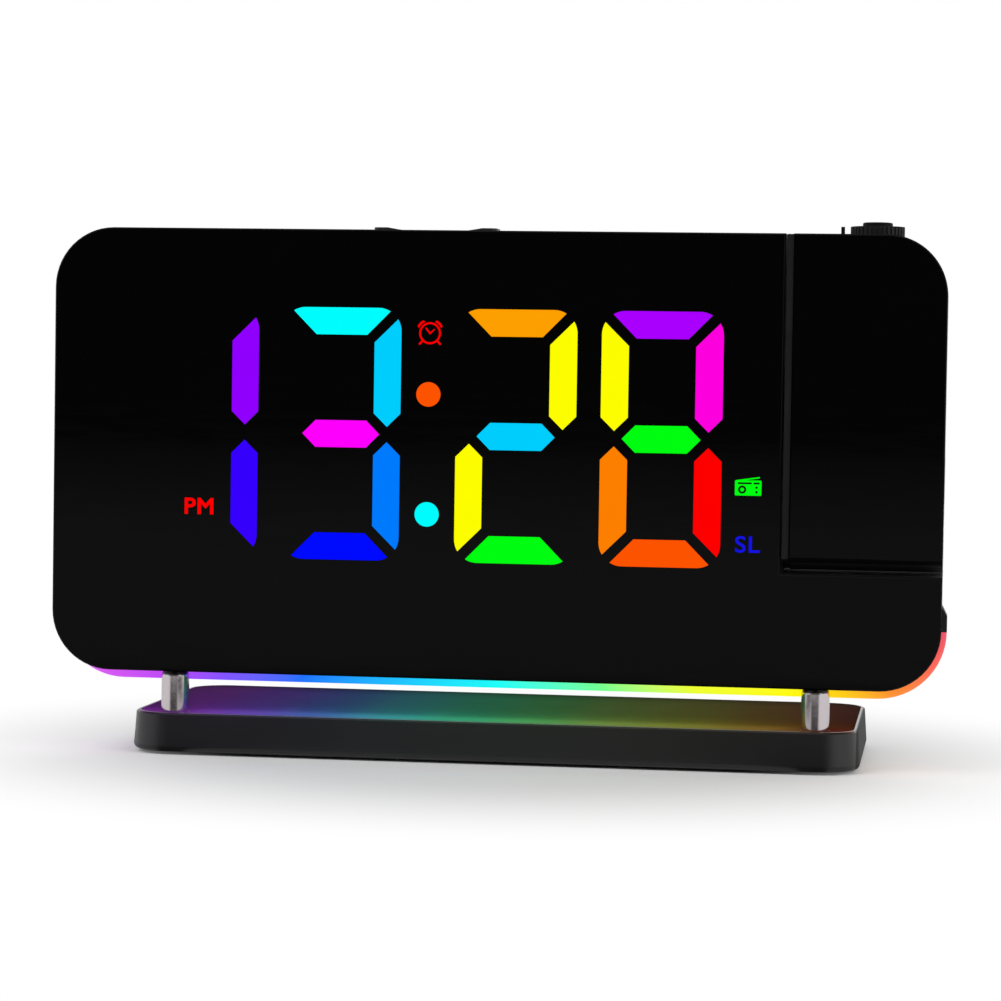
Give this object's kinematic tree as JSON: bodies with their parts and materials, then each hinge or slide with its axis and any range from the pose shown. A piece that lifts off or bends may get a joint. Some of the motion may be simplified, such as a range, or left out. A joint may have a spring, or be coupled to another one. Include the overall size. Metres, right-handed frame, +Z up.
{
  "type": "projection alarm clock",
  "caption": "Wide thin alarm clock with a large segment display and a light strip, on two posts over a weighted base, with a tilting projector arm.",
  "frame": {"origin": "on the table, under the middle of the base (bottom centre of the box)", "axes": "+X to the right as seen from the display side, +Y from the display to the back, +Z up"},
  "size_m": [0.1922, 0.066, 0.116],
  "materials": {
    "base_gloss": "satin front, polished top",
    "shell_black": "polished",
    "black_matt": "fine moulded grain",
    "smoked_acrylic": "polished, near black",
    "mask_film": "matt printed film",
    "reflector_white": "moulded white",
    "diffuser_white": "translucent white",
    "strip_diffuser": "translucent white, lit in rainbow colours",
    "led_white": "moulded",
    "circuit_board": "solder mask",
    "chip_black": "moulded",
    "steel_plate": "zinc plated",
    "screw_steel": "blackened",
    "spring_steel": "hardened",
    "post_chrome": "polished",
    "foot_rubber": "matt",
    "speaker_steel": "painted",
    "speaker_paper": "pressed paper",
    "cell_steel": "nickel plated",
    "contact_brass": "plated",
    "port_metal": "nickel plated",
    "bush_brass": "turned",
    "washer_nylon": "natural nylon",
    "heatsink_alu": "extruded",
    "clear_lens": "polished",
    "key_black": "satin",
    "switch_black": "moulded",
    "barrel_black": "matt",
    "ring_black": "grooved"
  },
  "bodies": {
    "root": {"base_shell": "base_gloss", "base_ballast": "steel_plate", "base_bottom_cover": "black_matt", "base_screws": "screw_steel", "rubber_feet": "foot_rubber", "support_posts": "post_chrome", "post_screws": "screw_steel", "front_window": "smoked_acrylic", "front_frame": "shell_black", "display_mask": "mask_film", "reflector_frame": "reflector_white", "segment_diffusers": "diffuser_white", "segment_leds": "led_white", "display_board": "circuit_board", "display_screws": "screw_steel", "main_board": "circuit_board", "main_board_chips": "chip_black", "board_screws": "screw_steel", "rear_shell": "shell_black", "shell_screws": "screw_steel", "speaker_basket": "speaker_steel", "speaker_cone": "speaker_paper", "speaker_magnet": "steel_plate", "backup_cell": "cell_steel", "cell_contacts": "contact_brass", "battery_cover": "black_matt", "battery_cover_screw": "screw_steel", "power_inlet": "port_metal", "usb_outlet": "port_metal", "light_strip": "strip_diffuser", "strip_leds": "led_white", "strip_board": "circuit_board", "strip_end_caps": "black_matt", "key_board": "circuit_board", "key_switches": "switch_black", "hinge_bush": "bush_brass"},
    "arm": {"arm_window": "smoked_acrylic", "arm_front_shell": "shell_black", "arm_rear_shell": "shell_black", "arm_screws": "screw_steel", "hinge_shaft": "steel_plate", "hinge_spring": "spring_steel", "hinge_clip": "spring_steel", "friction_washer": "washer_nylon", "led_heatsink": "heatsink_alu", "projector_led": "led_white", "condenser_lens": "clear_lens", "time_lcd": "clear_lens", "projector_tube": "barrel_black", "projector_board": "circuit_board", "projector_switch": "switch_black"},
    "focus_ring": {"focus_ring": "ring_black"},
    "lens_barrel": {"lens_barrel": "barrel_black", "objective_lens": "clear_lens"},
    "snooze_bar": {"snooze_bar": "key_black"},
    "clock_key": {"clock_key": "key_black"},
    "alarm_key": {"alarm_key": "key_black"},
    "minus_key": {"minus_key": "key_black"},
    "plus_key": {"plus_key": "key_black"},
    "projector_key": {"projector_key": "key_black"}
  },
  "joints": [
    {"name": "arm_tilt", "type": "hinge", "parent": "root", "child": "arm", "pos_m": [0.063, -0.0189, 0.0786], "axis": [1, 0, 0], "range_deg": [-90, 90]},
    {"name": "focus_turn", "type": "hinge", "parent": "arm", "child": "focus_ring", "pos_m": [0.0799, -0.0189, 0.115], "axis": [0, 0, 1], "range_deg": [-120, 120]},
    {"name": "barrel_slide", "type": "slide", "parent": "arm", "child": "lens_barrel", "axis": [0, 0, 1], "range_m": [-0.0008, 0.0008]},
    {"name": "snooze_press", "type": "slide", "parent": "root", "child": "snooze_bar", "axis": [0, 0, -1], "range_m": [0, 0.0005], "stiffness_N_per_m": 1000, "springref_m": -0.0005},
    {"name": "clock_press", "type": "slide", "parent": "root", "child": "clock_key", "axis": [0, 0, -1], "range_m": [0, 0.0005], "stiffness_N_per_m": 1000, "springref_m": -0.0005},
    {"name": "alarm_press", "type": "slide", "parent": "root", "child": "alarm_key", "axis": [0, 0, -1], "range_m": [0, 0.0005], "stiffness_N_per_m": 1000, "springref_m": -0.0005},
    {"name": "minus_press", "type": "slide", "parent": "root", "child": "minus_key", "axis": [0, 0, -1], "range_m": [0, 0.0005], "stiffness_N_per_m": 1000, "springref_m": -0.0005},
    {"name": "plus_press", "type": "slide", "parent": "root", "child": "plus_key", "axis": [0, 0, -1], "range_m": [0, 0.0005], "stiffness_N_per_m": 1000, "springref_m": -0.0005},
    {"name": "projector_press", "type": "slide", "parent": "arm", "child": "projector_key", "axis": [0, -1, 0], "range_m": [0, 0.0005], "stiffness_N_per_m": 1000, "springref_m": -0.0005}
  ],
  "couplings": [
    {"joint": "focus_turn", "follows": "barrel_slide", "rad_per_m": 2617}
  ]
}
